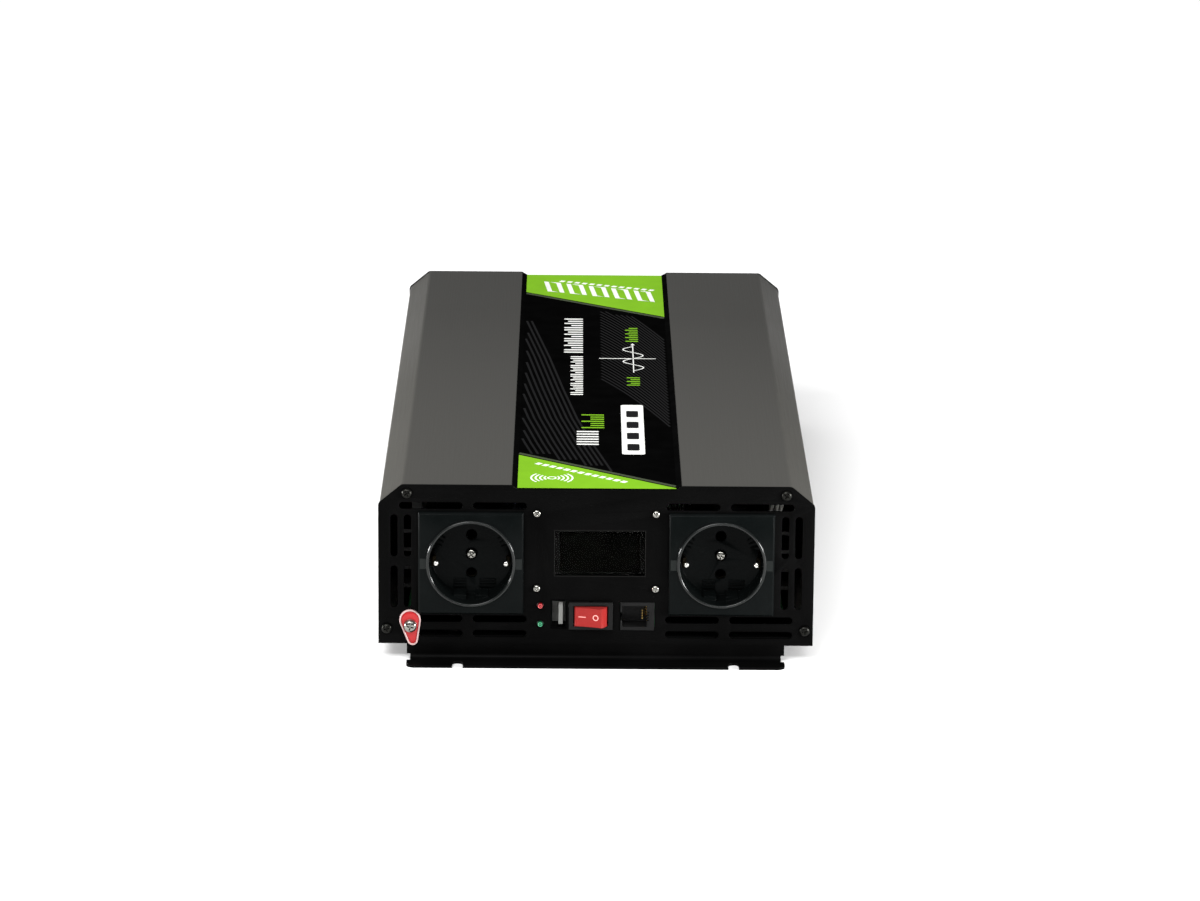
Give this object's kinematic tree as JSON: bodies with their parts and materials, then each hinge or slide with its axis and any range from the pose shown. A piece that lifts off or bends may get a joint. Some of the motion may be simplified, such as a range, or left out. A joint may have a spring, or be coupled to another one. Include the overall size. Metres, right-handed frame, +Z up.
{
  "type": "power inverter",
  "caption": "Low, wide power inverter: extruded case with a label channel, black bent end panels with slotted feet, earthed outlets, rocker switch, display, fans and battery studs.",
  "frame": {"origin": "centre of the whole box at the surface the feet stand on", "axes": "+X to the right seen from the front, +Y from the front panel to the rear panel, +Z up"},
  "size_m": [0.207, 0.4908, 0.0866],
  "materials": {
    "cover_aluminium": "satin, dark warm grey anodised",
    "bare_aluminium": "mill finish",
    "panel_black": "satin black powder coat",
    "label_print": "satin printed film",
    "black_screws": "blackened steel",
    "socket_plastic": "glossy black",
    "black_plastic": "moulded black",
    "rotor_plastic": "moulded black",
    "brass": "bright",
    "bright_steel": "zinc plated",
    "guard_chrome": "bright",
    "window_clear": "clear",
    "display_glass": "dark, unlit",
    "board_green": "solder mask",
    "lamp_red": "translucent",
    "lamp_green": "translucent",
    "pale_plastic": "moulded white",
    "rocker_red": "glossy red",
    "copper": "bare copper",
    "tag_red": "glossy red enamel",
    "insulator_red": "moulded red",
    "ferrite": "sintered",
    "winding": "enamelled copper and tape",
    "capacitor_sleeve": "shrink sleeve",
    "fuse_plastic": "translucent"
  },
  "bodies": {
    "case": {"top_cover": "cover_aluminium", "base_plate": "bare_aluminium", "front_panel": "panel_black", "rear_panel": "panel_black", "top_label": "label_print", "panel_screws": "black_screws", "left_socket_face": "socket_plastic", "left_socket_base": "black_plastic", "left_earth_clip": "brass", "left_pin_sleeves": "brass", "right_socket_face": "socket_plastic", "right_socket_base": "black_plastic", "right_earth_clip": "brass", "right_pin_sleeves": "brass", "socket_screws": "bright_steel", "display_window": "window_clear", "display_panel": "display_glass", "display_board": "board_green", "display_spacers": "bright_steel", "display_screws": "bright_steel", "control_board": "board_green", "red_lamp": "lamp_red", "green_lamp": "lamp_green", "usb_shell": "bright_steel", "usb_tongue": "pale_plastic", "phone_jack": "black_plastic", "jack_contacts": "brass", "switch_housing": "black_plastic", "switch_terminals": "brass", "earth_tag": "tag_red", "earth_washer": "bright_steel", "earth_screw": "bright_steel", "left_fan_frame": "black_plastic", "right_fan_frame": "black_plastic", "left_fan_guard": "guard_chrome", "right_fan_guard": "guard_chrome", "fan_screws": "bright_steel", "positive_insulator": "insulator_red", "negative_insulator": "black_plastic", "terminal_studs": "brass", "terminal_washers": "bright_steel", "terminal_nuts": "bright_steel", "bus_bars": "copper", "main_board": "board_green", "board_spacers": "bright_steel", "board_screws": "bright_steel", "left_heat_sink": "bare_aluminium", "right_heat_sink": "bare_aluminium", "power_transistors": "black_plastic", "transformer_cores": "ferrite", "transformer_windings": "winding", "bus_capacitors": "capacitor_sleeve", "input_capacitors": "capacitor_sleeve", "output_choke": "winding", "input_fuses": "fuse_plastic", "inside_leads": "pale_plastic"},
    "rocker": {"switch_rocker": "rocker_red"},
    "contact_lever": {"switch_lever": "copper"},
    "left_rotor": {"left_fan_rotor": "rotor_plastic"},
    "right_rotor": {"right_fan_rotor": "rotor_plastic"}
  },
  "joints": [
    {"name": "rocker_tip", "type": "hinge", "parent": "case", "child": "rocker", "pos_m": [-0.0024, -0.2321, 0.0228], "axis": [0, 0, 1], "range_deg": [0, 28]},
    {"name": "contact_lever_tip", "type": "hinge", "parent": "case", "child": "contact_lever", "pos_m": [-0.0024, -0.22345, 0.0228], "axis": [0, 0, 1], "range_deg": [-14, 0]},
    {"name": "left_fan_spin", "type": "hinge", "parent": "case", "child": "left_rotor", "pos_m": [-0.062, 0.2074, 0.0475], "axis": [0, 1, 0], "continuous": true},
    {"name": "right_fan_spin", "type": "hinge", "parent": "case", "child": "right_rotor", "pos_m": [0.062, 0.2074, 0.0475], "axis": [0, 1, 0], "continuous": true}
  ],
  "couplings": [
    {"joint": "contact_lever_tip", "follows": "rocker_tip", "ratio": -0.5}
  ]
}
